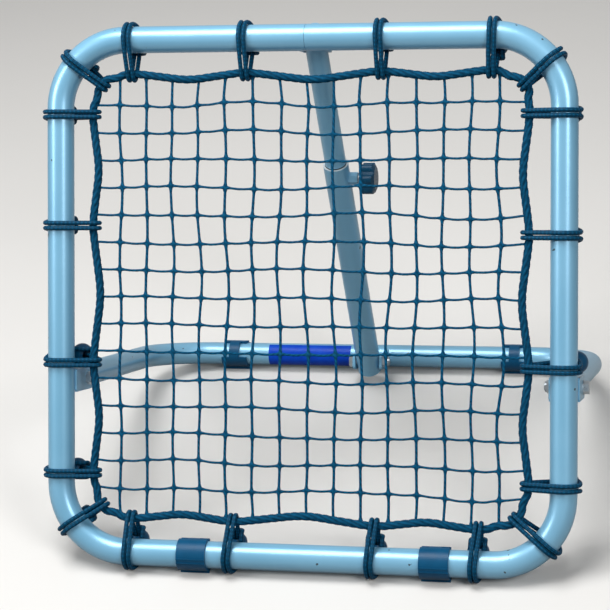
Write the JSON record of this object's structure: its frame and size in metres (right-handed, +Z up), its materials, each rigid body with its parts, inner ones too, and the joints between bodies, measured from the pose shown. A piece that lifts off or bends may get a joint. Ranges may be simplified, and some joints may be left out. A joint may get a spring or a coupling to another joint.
{
  "type": "pitch back rebounder",
  "caption": "Leaning square tube frame with a rope-edged rebound net on elastic loops, U-shaped rear leg and telescopic clamp brace.",
  "frame": {"origin": "on the floor at the centre of the standing footprint", "axes": "+X to the right of someone facing the net, +Y to the back, +Z up; the net faces -Y and leans back"},
  "size_m": [0.6174, 0.4687, 0.5535],
  "materials": {
    "powder_coated_steel": "satin metallic pale blue enamel",
    "zinc_plated_steel": "bright zinc plate",
    "net_cord": "twisted dark petrol blue polyester",
    "elastic_cord": "braided petrol blue elastic",
    "ball_plastic": "moulded, slightly glossy",
    "foot_rubber": "moulded, satin",
    "knob_plastic": "moulded, glossy",
    "blue_film": "plain adhesive film"
  },
  "bodies": {
    "frame": {"frame_tube": "powder_coated_steel", "joint_spigot": "zinc_plated_steel", "left_pivot_bracket": "powder_coated_steel", "right_pivot_bracket": "powder_coated_steel", "top_bracket": "powder_coated_steel", "pivot_bolts": "zinc_plated_steel", "pivot_nuts": "zinc_plated_steel", "pivot_washers": "zinc_plated_steel", "top_bolt": "zinc_plated_steel", "top_nut": "zinc_plated_steel", "net": "net_cord", "border_rope": "net_cord", "top_elastics": "elastic_cord", "bottom_elastics": "elastic_cord", "left_elastics": "elastic_cord", "right_elastics": "elastic_cord", "corner_elastics": "elastic_cord", "top_balls": "ball_plastic", "bottom_balls": "ball_plastic", "left_balls": "ball_plastic", "right_balls": "ball_plastic", "corner_balls": "ball_plastic", "front_left_foot_clip": "foot_rubber", "front_right_foot_clip": "foot_rubber"},
    "leg": {"rear_leg": "powder_coated_steel", "brace_foot_bracket": "powder_coated_steel", "foot_bolt": "zinc_plated_steel", "foot_nut": "zinc_plated_steel", "rear_left_foot_clip": "foot_rubber", "rear_right_foot_clip": "foot_rubber", "blue_band": "blue_film"},
    "brace_outer": {"brace_outer_tube": "powder_coated_steel", "clamp_boss": "powder_coated_steel"},
    "brace_inner": {"brace_inner_tube": "powder_coated_steel"},
    "knob": {"clamp_screw": "zinc_plated_steel", "clamp_knob": "knob_plastic"}
  },
  "joints": [
    {"name": "leg_fold", "type": "hinge", "parent": "frame", "child": "leg", "pos_m": [0, -0.09028, 0.17323], "axis": [1, 0, 0], "range_deg": [-5, 30]},
    {"name": "brace_foot_hinge", "type": "hinge", "parent": "leg", "child": "brace_outer", "pos_m": [0, 0.18232, 0.03283], "axis": [1, 0, 0], "range_deg": [-19.5, 3.4]},
    {"name": "brace_slide", "type": "slide", "parent": "brace_outer", "child": "brace_inner", "axis": [0, -0.1936, 0.9811], "range_m": [-0.139, 0.0235]},
    {"name": "knob_turn", "type": "hinge", "parent": "brace_outer", "child": "knob", "pos_m": [0, 0.12541, 0.32127], "axis": [1, 0, 0], "range_deg": [0, 720]}
  ],
  "couplings": [
    {"joint": "brace_foot_hinge", "follows": "leg_fold", "ratio": -0.643},
    {"joint": "brace_slide", "follows": "leg_fold", "m_per_rad": -0.2632}
  ]
}
